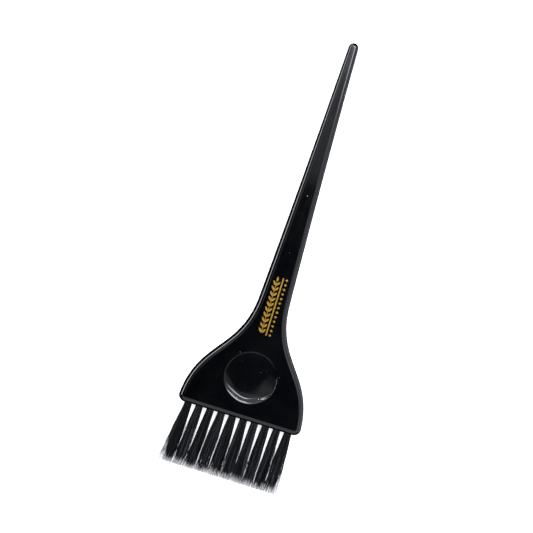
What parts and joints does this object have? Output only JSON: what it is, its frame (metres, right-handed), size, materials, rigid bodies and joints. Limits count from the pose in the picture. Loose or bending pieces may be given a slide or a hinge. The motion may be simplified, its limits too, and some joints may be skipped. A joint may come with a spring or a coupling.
{
  "type": "tint brush",
  "caption": "Hair tint brush with a tapered one-piece moulded handle, thumb dishes and a single row of fanned filament tufts stapled in the paddle's edge.",
  "frame": {"origin": "centre of the brush's box in X and Y, on the plane its back rests on", "axes": "+Y along the handle towards its tip, +X across the paddle to the right seen from the front, +Z out of the stamped front face"},
  "size_m": [0.0604, 0.215, 0.007],
  "materials": {
    "handle_plastic": "polished-mould gloss",
    "bristle_nylon": "fine filaments with feathered pale tips",
    "anchor_wire": "drawn flat wire",
    "gold_foil": "hot-stamped foil"
  },
  "bodies": {
    "root": {"handle": "handle_plastic", "tuft_01": "bristle_nylon", "tuft_02": "bristle_nylon", "tuft_03": "bristle_nylon", "tuft_04": "bristle_nylon", "tuft_05": "bristle_nylon", "tuft_06": "bristle_nylon", "tuft_07": "bristle_nylon", "tuft_08": "bristle_nylon", "tuft_09": "bristle_nylon", "tuft_10": "bristle_nylon", "anchor_01": "anchor_wire", "anchor_02": "anchor_wire", "anchor_03": "anchor_wire", "anchor_04": "anchor_wire", "anchor_05": "anchor_wire", "anchor_06": "anchor_wire", "anchor_07": "anchor_wire", "anchor_08": "anchor_wire", "anchor_09": "anchor_wire", "anchor_10": "anchor_wire", "foil_sprig": "gold_foil", "foil_rule": "gold_foil", "foil_lozenges": "gold_foil"}
  },
  "joints": []
}
